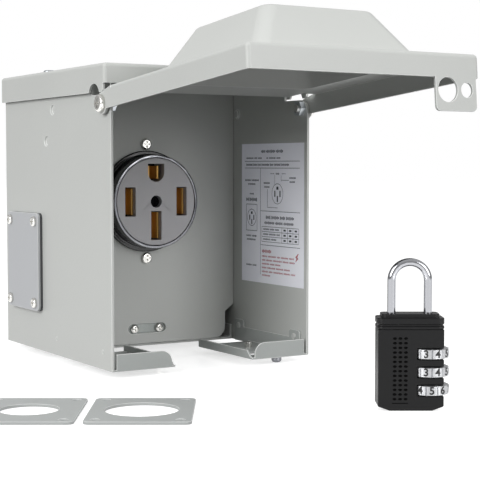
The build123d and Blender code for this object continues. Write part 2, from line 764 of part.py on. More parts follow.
# Hinge hardware: shouldered screws through the ears and walls, washers between, nuts inside
with BuildPart() as hinge_washers:
    for side in (-1, 1):
        with BuildSketch(Plane.YZ.offset(side * (half_width + 0.1))):
            with Locations((pivot_y, pivot_z)):
                Circle(hinge_washer_radius)
                Circle(hinge_shank_radius + fit_clearance, mode=Mode.SUBTRACT)
        extrude(amount=side * (cap_side_gap - 0.2))
write(hinge_washers.part, "hinge_washers")
for side, node in ((-1, "left"), (1, "right")):
    head_plane = Plane(
        origin=(side * (cap_half + 0.1), pivot_y, pivot_z), x_dir=(0, side, 0), z_dir=(side, 0, 0)
    )
    nut_plane = Plane(origin=(side * inner_half, pivot_y, pivot_z), x_dir=(0, 1, 0), z_dir=(-side, 0, 0))
    screw = pan_screws(
        head_plane,
        [(0, 0)],
        hinge_head_radius,
        hinge_head_height,
        hinge_shank_radius,
        cap_half - inner_half + hinge_nut_height + 1.2,
    )
    write(screw, f"{node}_hinge_screw")
    nut = hex_nuts(nut_plane, [(0, 0)], hinge_nut_size, hinge_nut_height, hinge_shank_radius + fit_clearance)
    write(nut, f"{node}_hinge_nut")

# Padlock body, with bores for the shackle legs and slots for the dials
leg_x = shackle_spacing / 2
bore_radius = shackle_radius + shackle_clearance
lock_top = lock_height + lock_collar_height
deep_end = lock_top - shackle_deep_leg
with BuildPart() as padlock_body:
    with BuildSketch(Plane(origin=lock_frame.origin, x_dir=lock_frame.x_dir, z_dir=-lock_frame.y_dir)):
        with BuildLine():
            Polyline(
                (-lock_width / 2, lock_height),
                (-lock_width / 2, lock_chamfer_z),
                (-lock_width / 2 + lock_chamfer_x, 0),
                (lock_width / 2 - lock_chamfer_x, 0),
                (lock_width / 2, lock_chamfer_z),
                (lock_width / 2, lock_height),
                close=True,
            )
        make_face()
    extrude(amount=lock_depth / 2, both=True)
    with BuildSketch(raised(lock_frame, lock_height)):
        with Locations((-leg_x, 0), (leg_x, 0)):
            Circle(bore_radius)
    extrude(amount=-3.2, mode=Mode.SUBTRACT)
    with BuildSketch(raised(lock_frame, lock_height)):
        with Locations((-leg_x, 0)):
            Circle(bore_radius)
    extrude(amount=-(lock_height - deep_end + 8), mode=Mode.SUBTRACT)
    for dial_height_now in dial_heights:
        with BuildSketch(raised(lock_frame, dial_height_now - dial_height / 2 - dial_gap / 2)):
            with Locations((dial_offset, 0)):
                Circle(dial_radius + dial_gap)
        extrude(amount=dial_height + dial_gap, mode=Mode.SUBTRACT)
    with BuildSketch(raised(lock_frame, 3.0)):
        with Locations((dial_offset, 0)):
            Circle(spindle_radius + fit_clearance)
    extrude(amount=29.5, mode=Mode.SUBTRACT)
write(padlock_body.part, "padlock_body")

with BuildPart() as padlock_collar:
    with BuildSketch(raised(lock_frame, lock_height)):
        RectangleRounded(lock_width + 0.6, lock_depth + 0.6, 3)
        with Locations((-leg_x, 0), (leg_x, 0)):
            Circle(bore_radius, mode=Mode.SUBTRACT)
    extrude(amount=lock_collar_height - 1.8)
    with BuildSketch(raised(lock_frame, lock_top - 1.8)):
        RectangleRounded(lock_width - 3.6, lock_depth - 3.0, 2.5)
        with Locations((-leg_x, 0), (leg_x, 0)):
            Circle(bore_radius, mode=Mode.SUBTRACT)
    extrude(amount=1.8)
write(padlock_collar.part, "padlock_collar")

bow_z = lock_top + shackle_rise - shackle_radius - leg_x
with BuildPart() as shackle:
    shackle_plane = Plane(origin=lock_frame.origin, x_dir=lock_frame.x_dir, z_dir=-lock_frame.y_dir)
    with BuildLine(shackle_plane):
        Line((-leg_x, deep_end), (-leg_x, bow_z))
        ThreePointArc((-leg_x, bow_z), (0, bow_z + leg_x), (leg_x, bow_z))
        Line((leg_x, bow_z), (leg_x, lock_top - shackle_short_leg))
    with BuildSketch(raised(lock_frame, deep_end)):
        with Locations((-leg_x, 0)):
            Circle(shackle_radius)
    sweep()
write(shackle.part, "shackle")

for number, dial_z in enumerate(dial_heights, start=1):
    with BuildPart() as dial:
        with BuildSketch(raised(lock_frame, dial_z - dial_height / 2)):
            with Locations((dial_offset, 0)):
                RegularPolygon(dial_radius, 10, rotation=-90 + 18)
                Circle(spindle_radius + fit_clearance, mode=Mode.SUBTRACT)
        extrude(amount=dial_height)
    write(dial.part, f"dial_{number}")

with BuildPart() as dial_spindle:
    with BuildSketch(raised(lock_frame, 3.2)):
        with Locations((dial_offset, 0)):
            Circle(spindle_radius)
    extrude(amount=28.8)
write(dial_spindle.part, "dial_spindle")

spring_low = deep_end - 7.8
spring_wire = 0.35
spring_radius = 1.5
with BuildPart() as shackle_spring:
    with BuildLine(Plane(origin=lock_frame.from_local_coords(Vector(-leg_x, 0, spring_low + spring_wire)))) as coil:
        Helix(pitch=1.4, height=7.0 - 2 * spring_wire, radius=spring_radius)
    with BuildSketch(Plane(origin=coil.line @ 0, z_dir=coil.line % 0)):
        Circle(spring_wire)
    sweep(is_frenet=True)
write(shackle_spring.part, "shackle_spring")

# Spare hub plates with conduit holes, lying on the ground in a row
first_spare = Vector(spare_place_x, front_y - spare_place_ahead, ground_z)
for number, (name, bore) in enumerate(hub_bores.items()):
    spare_frame = Plane(
        origin=first_spare + lock_frame.x_dir * (number * spare_pitch), x_dir=lock_frame.x_dir, z_dir=(0, 0, 1)
    )
    write(hub_plate(spare_frame, sheet, bore, hub_hole_radius), f"{name}_hub_plate")
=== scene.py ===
# %% [markdown]
# # A caravan-pitch outlet box, its padlock and its spare plates
#
# The object is a wall-mounted box of folded, powder-coated sheet steel. Its lid is swung up over a
# recessed four-slot outlet, and a three-dial padlock and three flat hub plates come with it.
# The exact shapes already exist as a CAD model. This lesson gives them the look of the real thing:
# soft edges on folded metal, paint, chrome, moulded plastic, a printed label and numbered dials.
#
# The CAD model is loaded first and stays fixed. Everything is in metres, in the CAD model's frame:
# X to the right, Y into the wall, Z up.

# %% Load the fixed CAD frame
import json
import math

import bpy
from mathutils import Matrix, Vector

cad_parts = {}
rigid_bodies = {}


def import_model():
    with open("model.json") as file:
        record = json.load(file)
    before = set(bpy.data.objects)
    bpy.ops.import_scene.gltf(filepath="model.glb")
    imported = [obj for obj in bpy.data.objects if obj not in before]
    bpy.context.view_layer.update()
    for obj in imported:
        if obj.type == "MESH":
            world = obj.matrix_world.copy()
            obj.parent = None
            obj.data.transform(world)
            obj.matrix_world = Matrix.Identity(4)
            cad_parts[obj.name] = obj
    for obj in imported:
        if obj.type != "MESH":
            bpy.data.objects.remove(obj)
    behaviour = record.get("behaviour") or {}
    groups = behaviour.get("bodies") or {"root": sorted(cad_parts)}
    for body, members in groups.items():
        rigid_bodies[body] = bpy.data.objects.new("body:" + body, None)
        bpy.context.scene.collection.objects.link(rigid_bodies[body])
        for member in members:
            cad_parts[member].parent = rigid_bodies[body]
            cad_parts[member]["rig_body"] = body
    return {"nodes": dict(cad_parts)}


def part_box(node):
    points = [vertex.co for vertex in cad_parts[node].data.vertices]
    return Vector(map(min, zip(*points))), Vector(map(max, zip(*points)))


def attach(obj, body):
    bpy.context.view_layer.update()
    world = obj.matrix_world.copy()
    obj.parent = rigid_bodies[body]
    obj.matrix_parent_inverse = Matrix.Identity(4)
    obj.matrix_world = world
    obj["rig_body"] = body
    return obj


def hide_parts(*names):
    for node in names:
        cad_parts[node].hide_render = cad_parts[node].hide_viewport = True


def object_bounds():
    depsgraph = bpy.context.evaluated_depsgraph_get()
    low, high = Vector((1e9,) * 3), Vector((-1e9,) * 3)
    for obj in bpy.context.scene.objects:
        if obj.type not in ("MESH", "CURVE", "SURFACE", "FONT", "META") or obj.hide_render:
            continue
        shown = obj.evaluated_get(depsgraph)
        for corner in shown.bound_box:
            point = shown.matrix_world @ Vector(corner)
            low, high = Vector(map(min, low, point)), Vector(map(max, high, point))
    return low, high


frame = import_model()
cad_low, cad_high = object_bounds()
bpy.ops.object.select_all(action="DESELECT")
mm = 0.001
print("CAD box in mm:", [round(v / mm, 1) for v in cad_low], [round(v / mm, 1) for v in cad_high])

# %% [markdown]
# ## The camera
#
# The box is seen from its left and slightly above, through a longish lens, so that the left wall and
# the open front both show. A camera can be aimed with a constraint, or given its turn outright.
# Here the turn is given outright: a yaw round Z, then a small pitch down, which keeps uprights upright.

# %% Camera
camera_data = bpy.data.cameras.new("box_camera")
camera_data.sensor_width = 36.0
camera_data.lens = 97.3
camera = bpy.data.objects.new("box_camera", camera_data)
bpy.context.scene.collection.objects.link(camera)
yaw, pitch = math.radians(31.2), math.radians(3.31)
camera.location = (-0.36465, -0.7830, 0.0279)
camera.rotation_euler = (math.pi / 2 - pitch, 0, -yaw)
bpy.context.scene.camera = camera
print("camera", tuple(round(v, 3) for v in camera.location), "lens", camera_data.lens)

# %% [markdown]
# ## Colours and nodes
#
# Colours are written as the hex codes a designer would pick on a screen. The shader works with linear
# light, so one function turns the codes into linear values. A second small function adds one shader
# node, sets it and links it, which keeps every material below short enough to read as a recipe.

# %% Helpers for colours and shader nodes
def linear(code):
    """The linear colour of a #rrggbb code."""
    channels = [int(code[i : i + 2], 16) / 255 for i in (1, 3, 5)]
    return (*(c / 12.92 if c <= 0.04045 else ((c + 0.055) / 1.055) ** 2.4 for c in channels), 1.0)


def add_node(tree, kind, inputs, **settings):
    """Adds a node, sets its options, then gives each named input a value or a link."""
    node = tree.nodes.new(kind)
    for option, value in settings.items():
        setattr(node, option, value)
    for socket, value in inputs.items():
        if isinstance(value, bpy.types.NodeSocket):
            tree.links.new(value, node.inputs[socket])
        else:
            node.inputs[socket].default_value = value
    return node


def new_finish(name, **shader_values):
    """A material with its main shader set up, and the Object coordinates that patterns read."""
    finish = bpy.data.materials.new(name)
    finish.use_nodes = True
    tree = finish.node_tree
    shader = tree.nodes["Principled BSDF"]
    for socket, value in shader_values.items():
        shader.inputs[socket.replace("_", " ")].default_value = value
    place = tree.nodes.new("ShaderNodeTexCoord").outputs["Object"]
    return finish, tree, shader, place


print("grey paint in linear light:", [round(v, 3) for v in linear("#c6c9c6")])

# %% [markdown]
# ## Powder coat
#
# The box is steel sheet with a polyester powder coat. The powder melts and flows in an oven, which
# leaves a satin skin with a fine ripple called orange peel, about a millimetre or two across, and it
# pulls a little thinner over folded edges. The rounded edges get a lighter paint, which is partly that
# thinner coat and partly a painted highlight. Two noises make the skin: one for the ripple in the
# surface, and a broad weak one for uneven colour and gloss. The blank plate and the spare plates have
# the same paint in darker, flatter batches. The brackets' paint is flatter and darker too, and its
# darker tone is painted shade, for their low place at the front where less light falls.

# %% Powder-coated steel
def powder_coat(name, colour, roughness):
    """Satin baked paint with orange peel and slightly uneven gloss."""
    finish, tree, shader, place = new_finish(name, IOR=1.5, Metallic=0.0)
    # the broad unevenness of a hand-held spray gun, about 60 mm across
    cloud = add_node(tree, "ShaderNodeTexNoise", {"Vector": place, "Scale": 16.0, "Detail": 3.0})
    pale, deep = linear(colour), tuple(0.94 * v for v in linear(colour)[:3]) + (1.0,)
    tone = add_node(tree, "ShaderNodeMix", {0: cloud.outputs["Fac"], 6: deep, 7: pale}, data_type="RGBA")
    tree.links.new(tone.outputs[2], shader.inputs["Base Color"])
    gloss = add_node(
        tree,
        "ShaderNodeMapRange",
        {"Value": cloud.outputs["Fac"], "To Min": roughness - 0.06, "To Max": roughness + 0.06},
    )
    tree.links.new(gloss.outputs["Result"], shader.inputs["Roughness"])
    # orange peel: real ripples are 1 to 2 mm across, drawn at 2.2 mm so that they show
    peel = add_node(tree, "ShaderNodeTexNoise", {"Vector": place, "Scale": 450.0, "Detail": 2.0})
    # a finer grain of powder that did not quite flow out, 0.5 mm across
    grain = add_node(tree, "ShaderNodeTexNoise", {"Vector": place, "Scale": 2000.0, "Detail": 1.0})
    wavy = add_node(
        tree, "ShaderNodeBump", {"Height": peel.outputs["Fac"], "Strength": 0.16, "Distance": 0.0004}
    )
    over_peel = {"Height": grain.outputs["Fac"], "Normal": wavy.outputs["Normal"]}
    over_peel |= {"Strength": 0.10, "Distance": 0.0001}
    rough = add_node(tree, "ShaderNodeBump", over_peel)
    tree.links.new(rough.outputs["Normal"], shader.inputs["Normal"])
    return finish


box_paint = powder_coat("powder_coated_steel", "#c4c6c3", 0.42)
# lighter paint for the rounded edges: partly a thinner coat, partly a painted highlight
thin_coat_highlight_paint = powder_coat("powder_coat_edges_with_painted_highlight", "#e2e4e2", 0.3)
blank_paint = powder_coat("powder_coated_blank_plate", "#b9bbbe", 0.45)
# the brackets' paint is darker as painted shade, for their low place at the front
bracket_paint_with_painted_shade = powder_coat("powder_coated_bracket_painted_shade", "#adb1af", 0.45)
plate_paint = powder_coat("powder_coated_plate", "#b0b3b2", 0.5)
# lighter paint for the plates' rounded edges: partly a thinner coat, partly a painted highlight
plate_thin_coat_highlight_paint = powder_coat("plate_coat_edges_with_painted_highlight", "#cfd1d0", 0.4)
print("paints:", box_paint.name, plate_paint.name)

# %% [markdown]
# ## Bright metals
#
# The screws are nickel-plated, the padlock's shackle and the outlet's rim are chromed, the small
# hardware inside is zinc-plated, and the contacts are rolled brass. A plated metal is a mirror whose
# roughness says how well it was polished. The chrome of the outlet's rim and the keeper screw is given a
# darker colour, as a painted reflection of dark surroundings. Zinc shows faint crystals, the ground bar's
# tin has gone dull, and brass shows the rolling lines. The outlet's centre screw is painted near-black,
# as painted shade deep in its hole. Each gets a weak noise in its gloss, because no plating is even.

# %% Plated and rolled metals
def bright_metal(name, colour, roughness, mark_scale, mark_stretch=(1.0, 1.0, 1.0), mark_depth=0.05):
    """A metal whose gloss and surface vary with marks of 1 / mark_scale metres."""
    finish, tree, shader, place = new_finish(name, Metallic=1.0, Base_Color=linear(colour))
    along = add_node(tree, "ShaderNodeMapping", {"Vector": place, "Scale": mark_stretch})
    marks = add_node(
        tree, "ShaderNodeTexNoise", {"Vector": along.outputs["Vector"], "Scale": mark_scale, "Detail": 3.0}
    )
    gloss = add_node(
        tree,
        "ShaderNodeMapRange",
        {"Value": marks.outputs["Fac"], "To Min": roughness * 0.7, "To Max": roughness * 1.4},
    )
    tree.links.new(gloss.outputs["Result"], shader.inputs["Roughness"])
    dents = add_node(
        tree, "ShaderNodeBump", {"Height": marks.outputs["Fac"], "Strength": mark_depth, "Distance": 0.0001}
    )
    tree.links.new(dents.outputs["Normal"], shader.inputs["Normal"])
    return finish


chrome = bright_metal("polished_chrome_plate", "#a9aaae", 0.07, 300.0)
# the rim's and keeper screw's chrome is darker: a painted reflection of dark surroundings
dark_reflection_chrome = bright_metal("chrome_darkened_as_painted_reflection", "#77787c", 0.1, 300.0)
bar_metal = bright_metal("dull_tinned_bar", "#8f9391", 0.5, 500.0, mark_depth=0.12)
# the centre screw is near-black: painted shade deep in its hole
centre_screw_shade_black = bright_metal("centre_screw_shade_black_steel", "#0c0c0d", 0.6, 700.0)
nickel = bright_metal("nickel_plated_steel", "#d6d5d1", 0.2, 700.0)
zinc = bright_metal("zinc_plated_steel", "#b9bec2", 0.34, 500.0, mark_depth=0.12)
brass = bright_metal("rolled_brass", "#d0a458", 0.5, 900.0, (1.0, 1.0, 0.08), 0.15)
# old brass is part oxide, which scatters light instead of mirroring the dark slot
brass.node_tree.nodes["Principled BSDF"].inputs["Metallic"].default_value = 0.55
cast_zinc = bright_metal("satin_plated_die_casting", "#b4b5b7", 0.36, 1200.0, mark_depth=0.15)
spring_wire = bright_metal("drawn_spring_steel", "#8b8e92", 0.3, 900.0, (0.2, 0.2, 1.0))
print("metals:", ", ".join(m.name for m in (chrome, nickel, zinc, brass, cast_zinc, spring_wire)))

# %% [markdown]
# ## Moulded plastics, rubber, enamel and the label
#
# The outlet's collar is black phenolic from a polished mould, so it is smooth and glossy. Its face is
# a grey nylon moulding with a finely eroded skin. The gasket is dull rubber. The padlock is die-cast
# and sprayed in black enamel with a soft sheen. At the bottom of its grip dimples it is matt and painted
# near-black, as painted shade in the hollows. The label is a white vinyl film with screened ink.
# All are one shader with a fine noise for the skin, so one recipe with different values is enough.

# %% Moulded and sprayed finishes
def moulded(name, colour, roughness, grain_scale, grain_depth, **extra):
    """A non-metal skin with a fine grain of 1 / grain_scale metres and a slight change of tone."""
    finish, tree, shader, place = new_finish(name, Roughness=roughness, **extra)
    grain = add_node(tree, "ShaderNodeTexNoise", {"Vector": place, "Scale": grain_scale, "Detail": 4.0})
    broad = add_node(tree, "ShaderNodeTexNoise", {"Vector": place, "Scale": 40.0, "Detail": 2.0})
    pale, deep = linear(colour), tuple(0.88 * v for v in linear(colour)[:3]) + (1.0,)
    tone = add_node(tree, "ShaderNodeMix", {0: broad.outputs["Fac"], 6: deep, 7: pale}, data_type="RGBA")
    tree.links.new(tone.outputs[2], shader.inputs["Base Color"])
    skin = add_node(
        tree, "ShaderNodeBump", {"Height": grain.outputs["Fac"], "Strength": grain_depth, "Distance": 0.0001}
    )
    tree.links.new(skin.outputs["Normal"], shader.inputs["Normal"])
    return finish


black_phenolic = moulded("black_phenolic_moulding", "#141416", 0.16, 900.0, 0.05, IOR=1.55)
grey_nylon = moulded("grey_nylon_moulding", "#b3b2b5", 0.4, 1500.0, 0.25, IOR=1.53)
clear_nylon = moulded("clear_nylon_washer", "#e6e6df", 0.35, 900.0, 0.1, IOR=1.53, Transmission_Weight=0.4)
rubber = moulded("grey_foam_rubber_gasket", "#4a4b4d", 0.75, 1200.0, 0.4, IOR=1.52)
# a sprayed enamel has a faint pebble about 0.8 mm across
lock_enamel = moulded("black_sprayed_enamel", "#101011", 0.4, 1250.0, 0.22, Specular_IOR_Level=0.25)
# the dimples are matt and painted near-black: painted shade in the hollows
dimple_painted_shade = moulded("matt_enamel_painted_shade_in_dimples", "#020202", 0.7, 1250.0, 0.1, Specular_IOR_Level=0.1)
# the vinyl glows a little blue-white by itself: painted light that lifts the label out of the wall's shade
label_glow = {"Emission_Color": linear("#e6e9ff"), "Emission_Strength": 0.06}
label_vinyl = moulded("white_vinyl_label", "#f8f9ff", 0.32, 600.0, 0.05, IOR=1.46, **label_glow)
# screen ink is a thin matt film with small breaks in it
black_ink = moulded("black_screen_ink", "#3a3e47", 0.55, 1800.0, 0.3, IOR=1.45)
red_ink = moulded("red_screen_ink", "#b8646a", 0.55, 1800.0, 0.3, IOR=1.45)
number_ink = moulded("black_number_paint", "#131314", 0.4, 1800.0, 0.2, IOR=1.45)
print("skins:", black_phenolic.name, grey_nylon.name, lock_enamel.name)

# %% [markdown]
# ## Softening the CAD pieces
#
# Folded and cut sheet never has a perfectly sharp edge: the shears roll it slightly and the paint
# rounds it off, and that thin rounded edge is what catches the light. The CAD nodes may not change, so
# each visible one is copied. The copy's loose triangles are welded into a surface, its flat faces are
# merged, and a Bevel modifier rounds the sharp edges. Where the piece is painted, the bevel carries the
# lighter edge paint, which is partly a thinner coat and partly a painted highlight. Smooth shading by
# angle then joins up the curved faces, and weighted normals keep the big flat faces flat right up to
# their rounded edges.

# %% Helper that copies and softens a CAD piece
def set_finish(piece, *finishes):
    """Gives a piece these materials in place of what it had."""
    piece.data.materials.clear()
    for finish in finishes:
        piece.data.materials.append(finish)


def only(piece):
    """Selects this piece alone and makes it the active one."""
    bpy.ops.object.select_all(action="DESELECT")
    piece.select_set(True)
    bpy.context.view_layer.objects.active = piece


def smooth_round_edges(piece, sharp):
    """Smooths the shading over rounded edges, while big flat faces keep their own direction."""
    bpy.ops.object.shade_smooth_by_angle(angle=math.radians(sharp))
    level = piece.modifiers.new("flat_faces_win", "WEIGHTED_NORMAL")
    level.weight = 100
    level.keep_sharp = True
    bpy.ops.object.modifier_apply(modifier=level.name)


def soften(piece, edge_width, sharp=30.0, steps=2, edge_slot=None):
    """Rounds the sharp edges of a welded piece, then smooths its shading."""
    only(piece)
    bevel = piece.modifiers.new("rolled_edge", "BEVEL")
    bevel.width = edge_width * mm
    bevel.segments = steps
    bevel.limit_method = "ANGLE"
    bevel.angle_limit = math.radians(sharp)
    bevel.use_clamp_overlap = False
    if edge_slot is not None:
        bevel.material = edge_slot
    bpy.ops.object.modifier_apply(modifier=bevel.name)
    smooth_round_edges(piece, sharp)


def finished_copy(node, edge_width, *finishes, sharp=30.0, steps=2, merge_flat=True):
    """A welded, softened copy of a CAD node that stands for it and moves with it."""
    source = frame["nodes"][node]
    piece = source.copy()
    piece.data = source.data.copy()
    piece.name = f"{node}_finished"
    for key in list(piece.keys()):
        del piece[key]
    piece.parent = None
    bpy.context.scene.collection.objects.link(piece)
    only(piece)
    bpy.ops.object.mode_set(mode="EDIT")
    bpy.ops.mesh.customdata_custom_splitnormals_clear()
    bpy.ops.mesh.select_all(action="SELECT")
    bpy.ops.mesh.remove_doubles(threshold=0.002 * mm)
    if merge_flat:
        bpy.ops.mesh.dissolve_limited(angle_limit=math.radians(0.3))
    bpy.ops.object.mode_set(mode="OBJECT")
    set_finish(piece, *finishes)
    for face in piece.data.polygons:
        face.material_index = 0
    if edge_width:
        soften(piece, edge_width, sharp, steps, 1 if len(finishes) > 1 else None)
    else:
        bpy.ops.object.shade_smooth_by_angle(angle=math.radians(sharp))
    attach(piece, source["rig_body"])
    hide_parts(node)
    return piece


print("the record has", len(frame["nodes"]), "CAD nodes")

# %% [markdown]
# ## The painted sheet-metal pieces
#
# The housing, cap, lid, dead front and brackets are all folded from sheet 1.2 to 1.5 mm thick.
# Their cut edges are rounded by about a quarter of a millimetre, and those of the flat hub plates by a
# little less, because they are stamped and not folded.

# %% Soften the painted pieces
# the bevels of these pieces take the lighter edge paint, which is partly a painted highlight
for node in ("housing", "top_cap", "lid", "dead_front", "rear_floor"):
    finished_copy(node, 0.28, box_paint, thin_coat_highlight_paint)
# the brackets' darker paint is painted shade
for node in ("left_bracket", "right_bracket"):
    finished_copy(node, 0.28, bracket_paint_with_painted_shade, thin_coat_highlight_paint)
finished_copy("blank_hub_plate", 0.22, blank_paint, thin_coat_highlight_paint)
# the plates' bevels take the lighter edge paint, which is partly a painted highlight
for node in ("small_hub_plate", "medium_hub_plate", "large_hub_plate"):
    finished_copy(node, 0.22, plate_paint, plate_thin_coat_highlight_paint)

# %% [markdown]
# ## Screws, rivets and other hardware
#
# Cold-headed screws have smooth domed heads and a crisp cross recess. Their CAD shape is right, so
# they only need their edges eased by a tenth of a millimetre and the right plating. The nuts and the
# ground bar are sheared blanks with blunter edges, eased by a fifth.

# %% Soften the hardware
bright_screws = ("left_hinge_screw", "right_hinge_screw", "outlet_screws", "ground_bar_screws", "hub_plate_screws")
for node in bright_screws:
    finished_copy(node, 0.12, nickel)
# the keeper screw takes the darker chrome, a painted reflection
small_hardware = {"cap_screws": zinc, "keeper_nut": zinc, "keeper_screw": dark_reflection_chrome, "bracket_stud": nickel}
for node, plating in small_hardware.items():
    finished_copy(node, 0.12, plating)
blunt_hardware = {"left_hinge_nut": zinc, "right_hinge_nut": zinc, "ground_bar": bar_metal}
for node, plating in blunt_hardware.items():
    finished_copy(node, 0.2, plating)
# the rivets are set before the box is painted, so they carry the same paint, and its lighter edge paint, partly a
# painted highlight
finished_copy("bracket_rivets", 0.12, box_paint, thin_coat_highlight_paint)
finished_copy("hinge_washers", 0.15, clear_nylon)
head_low, head_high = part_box("left_hinge_screw")
print("hinge screw head is", round((head_high.z - head_low.z) / mm, 1), "mm")

# %% [markdown]
# ## The outlet
#
# The outlet is three visible pieces: a glossy black collar, a bright rim pressed on its front edge and
# a grey face with four slots. The edge of a moulding is rounder than that of cut metal, so the collar
# gets a wide bevel of four steps. The face is pierced by slots close to its edge, and its triangles stay
# as they are, because merged they would leave a sliver that the bevel spoils. The rim is round already.

# %% Soften the outlet
finished_copy("outlet_collar", 0.8, black_phenolic, steps=4)
# the rim's darker chrome is a painted reflection of dark surroundings
finished_copy("outlet_rim", 0.0, dark_reflection_chrome)
finished_copy("outlet_face", 0.3, grey_nylon, merge_flat=False)
for node in ("line_contacts", "neutral_contact", "ground_contact"):
    finished_copy(node, 0.15, brass)
rim_low, rim_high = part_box("outlet_rim")
print("outlet rim is", round((rim_high.x - rim_low.x) / mm, 1), "mm across")

# %% [markdown]
# ## The label's print
#
# The instruction label is a printed film. Its wording is not reproduced: each word becomes a row of
# short upright strokes, as on a page seen from too far away to read, and the two small outlet drawings,
# the rules and the table stay. The print could be a texture, but thin flat shapes keep the edges crisp
# at any size. One inked rectangle is modelled and copied to each place, and then all are joined.

# %% Helpers for flat inked shapes
label_low, label_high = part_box("label")
ink_x = label_low.x - 0.03 * mm


def on_label(piece, across, down):
    """Turns a flat shape to face out of the right wall and puts it on the label, in mm from its top left."""
    upright = Matrix(((0, 0, -1, 0), (-1, 0, 0, 0), (0, 1, 0, 0), (0, 0, 0, 1)))
    piece.data.transform(upright)
    piece.data.transform(Matrix.Translation((ink_x, label_high.y - across * mm, label_high.z - down * mm)))
    return piece


bpy.ops.mesh.primitive_plane_add(size=1.0)
ink_patch = bpy.context.object
ink_patch.name = "ink_patch"
bpy.ops.object.mode_set(mode="EDIT")
bpy.ops.mesh.bevel(offset=0.12, segments=2, affect="VERTICES")
bpy.ops.object.mode_set(mode="OBJECT")
# the heights of neighbouring strokes, as shares of a line's height
letter_rises = (1.0, 0.7, 0.85, 0.6, 0.95, 0.7, 0.75)


def ink_bar(across, down, length, thick, finish=black_ink):
    """One inked rectangle, its left end and middle height given in mm."""
    bar = ink_patch.copy()
    bar.data = ink_patch.data.copy()
    bpy.context.scene.collection.objects.link(bar)
    bar.data.transform(Matrix.Diagonal((length * mm, thick * mm, 1, 1)))
    set_finish(bar, finish)
    return on_label(bar, across + length / 2, down)


def ink_words(across, down, lengths, thick, finish=black_ink, gap=0.9):
    """A line of print: for each word as many upright strokes, of mixed heights, as fill its length."""
    letter_width, ink_share = 0.62, 0.68
    strokes = []
    for length in lengths:
        count = max(2, round(length / (letter_width * thick)))
        pitch = length / count
        for letter in range(count):
            rise = letter_rises[(letter + len(lengths)) % len(letter_rises)]
            strokes.append(ink_bar(across + pitch * letter, down, ink_share * pitch, rise * thick, finish))
        across += length + gap
    return strokes


def ink_ring(across, down, radius, band):
    """An inked circle line."""
    bpy.ops.object.select_all(action="DESELECT")
    bpy.ops.mesh.primitive_circle_add(vertices=36, radius=radius * mm, fill_type="NGON")
    ring = bpy.context.object
    bpy.ops.object.mode_set(mode="EDIT")
    bpy.ops.mesh.inset(thickness=band * mm)
    bpy.ops.mesh.delete(type="FACE")
    bpy.ops.object.mode_set(mode="OBJECT")
    set_finish(ring, black_ink)
    return on_label(ring, across, down)


print("label is", round((label_high.y - label_low.y) / mm, 1), "mm wide")

# %% [markdown]
# ### Laying out the print
#
# The layout follows such labels: a heading over two rules, a narrow left column with a small drawing
# of the outlet, and a wide right column with a larger drawing, its sizes, a small table and a red block
# at the foot.

# %% Lay out the label's print
def outlet_drawing(across, down, radius):
    """A small line drawing of the outlet's face: its rim, two side slots, a lower slot and a ground slot."""
    return [
        ink_ring(across, down, radius, 0.3),
        ink_bar(across - radius * 0.56, down, radius * 0.2, radius * 0.6),
        ink_bar(across + radius * 0.36, down, radius * 0.2, radius * 0.6),
        ink_bar(across - radius * 0.1, down + radius * 0.5, radius * 0.2, radius * 0.6),
        ink_bar(across - radius * 0.18, down - radius * 0.55, radius * 0.36, radius * 0.3),
    ]


rule = 0.32
black_print = []
black_print += ink_words(23.0, 4.8, (5.0, 10.5, 8.0), 2.0, gap=0.7)
black_print += ink_words(5.5, 8.9, (8.5, 3.5, 4.5), 1.2) + ink_words(29.0, 8.9, (2.0, 7.5, 4.5), 1.2)
black_print += [ink_bar(3.5, 10.8, 62.5, rule), ink_bar(3.5, 15.0, 62.5, rule)]
black_print += [ink_bar(22.0, 48.0, 0.3, 66.0)]
black_print += ink_words(5.5, 13.0, (7.5, 5.0, 3.0, 9.0, 4.0, 7.0, 8.5), 1.5, gap=0.8)
black_print += ink_words(4.0, 22.6, (7.0, 8.3), 1.3) + ink_words(7.6, 25.0, (8.6,), 1.3)
black_print += ink_words(9.5, 31.0, (5.0,), 1.1) + ink_words(5.5, 34.6, (4.0, 8.5), 2.3, gap=0.5)
for edge_down in (37.6, 54.0):
    black_print.append(ink_bar(5.6, edge_down, 12.6, rule))
for edge_across in (5.4, 18.0):
    black_print.append(ink_bar(edge_across, 45.8, 0.3, 16.6))
black_print += outlet_drawing(11.9, 45.8, 5.3)
black_print += ink_words(5.6, 57.3, (5.5, 5.7), 1.3) + ink_words(6.2, 59.6, (10.3,), 1.3)
black_print += ink_words(5.5, 75.6, (6.5, 4.6), 1.2)
black_print += ink_words(33.4, 18.4, (4.4,), 0.5) + ink_words(39.6, 18.4, (4.0,), 1.3)
black_print += ink_words(46.0, 18.4, (4.6,), 0.5)
black_print += [ink_bar(38.3, 22.2, 0.25, 6.4), ink_bar(45.4, 21.2, 0.25, 3.6)]
black_print += [ink_bar(45.5, 22.3, 8.6, 0.25)]
black_print += ink_words(54.6, 20.9, (7.0,), 1.2) + ink_words(54.8, 23.3, (6.0,), 1.2)
black_print += ink_words(25.9, 24.2, (7.0,), 1.3) + ink_words(26.6, 26.6, (6.0,), 1.3)
black_print += [ink_bar(30.0, 33.5, 0.3, 11.4), ink_bar(30.1, 39.1, 11.6, 0.25)]
black_print += outlet_drawing(41.4, 30.6, 6.3)
black_print += [ink_bar(22.2, 41.4, 44.0, rule), ink_bar(22.2, 62.4, 44.0, rule)]
black_print += ink_words(28.4, 45.2, (5.5, 8.6, 6.0, 8.6), 2.1, gap=0.9)
black_print += ink_words(26.8, 48.6, (11.5, 8.2, 11.0), 1.8, gap=0.9)
for row in range(4):
    black_print.append(ink_bar(23.8, 51.0 + 3.1 * row, 41.0, 0.28))
for column in (23.8, 46.4, 52.6, 58.6, 64.8):
    black_print.append(ink_bar(column - 0.15, 55.65, 0.28, 9.4))
